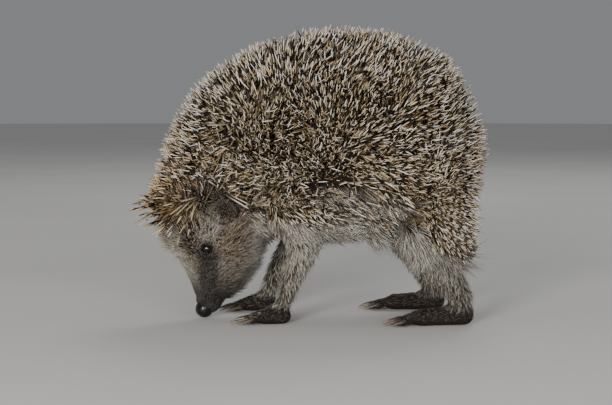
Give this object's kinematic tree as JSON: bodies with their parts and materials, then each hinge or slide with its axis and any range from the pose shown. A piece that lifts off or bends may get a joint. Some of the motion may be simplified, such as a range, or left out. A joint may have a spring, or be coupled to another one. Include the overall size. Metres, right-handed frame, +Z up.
{
  "type": "hedgehog",
  "caption": "Life-size still hedgehog, standing with an arched, quilled back and its head lowered to sniff the ground.",
  "frame": {"origin": "on the floor, under the middle of the animal's box", "axes": "+Z up, the animal faces -X, its left side is -Y"},
  "size_m": [0.1846, 0.1144, 0.1505],
  "materials": {
    "quills": "keratin quills, satin, banded cream and dark brown",
    "face_fur": "short grizzled fur",
    "body_fur": "coarse soft fur",
    "leg_fur": "short fur",
    "tail_skin": "thinly haired skin",
    "foot_skin": "creased bare skin with short hairs",
    "horn": "dark translucent horn, satin",
    "nose_skin": "wet, pebbled black skin",
    "eye": "wet, glossy, near black"
  },
  "bodies": {
    "root": {"eye_left": "eye", "eye_right": "eye", "nose": "nose_skin", "ear_left": "face_fur", "ear_right": "face_fur", "lower_jaw": "face_fur", "muzzle": "face_fur", "head": "face_fur", "crown": "quills", "claw_fore_left_1": "horn", "claw_fore_left_2": "horn", "claw_fore_left_3": "horn", "claw_fore_left_4": "horn", "claw_fore_left_5": "horn", "forefoot_left": "foot_skin", "claw_hind_left_1": "horn", "claw_hind_left_2": "horn", "claw_hind_left_3": "horn", "claw_hind_left_4": "horn", "claw_hind_left_5": "horn", "hindfoot_left": "foot_skin", "claw_fore_right_1": "horn", "claw_fore_right_2": "horn", "claw_fore_right_3": "horn", "claw_fore_right_4": "horn", "claw_fore_right_5": "horn", "forefoot_right": "foot_skin", "claw_hind_right_1": "horn", "claw_hind_right_2": "horn", "claw_hind_right_3": "horn", "claw_hind_right_4": "horn", "claw_hind_right_5": "horn", "hindfoot_right": "foot_skin", "shank_left": "leg_fur", "thigh_left": "leg_fur", "shank_right": "leg_fur", "thigh_right": "leg_fur", "shoulders": "quills", "back": "quills", "rump": "quills", "tail": "tail_skin", "foreleg_left": "leg_fur", "foreleg_right": "leg_fur", "neck": "body_fur", "belly": "body_fur"}
  },
  "joints": []
}
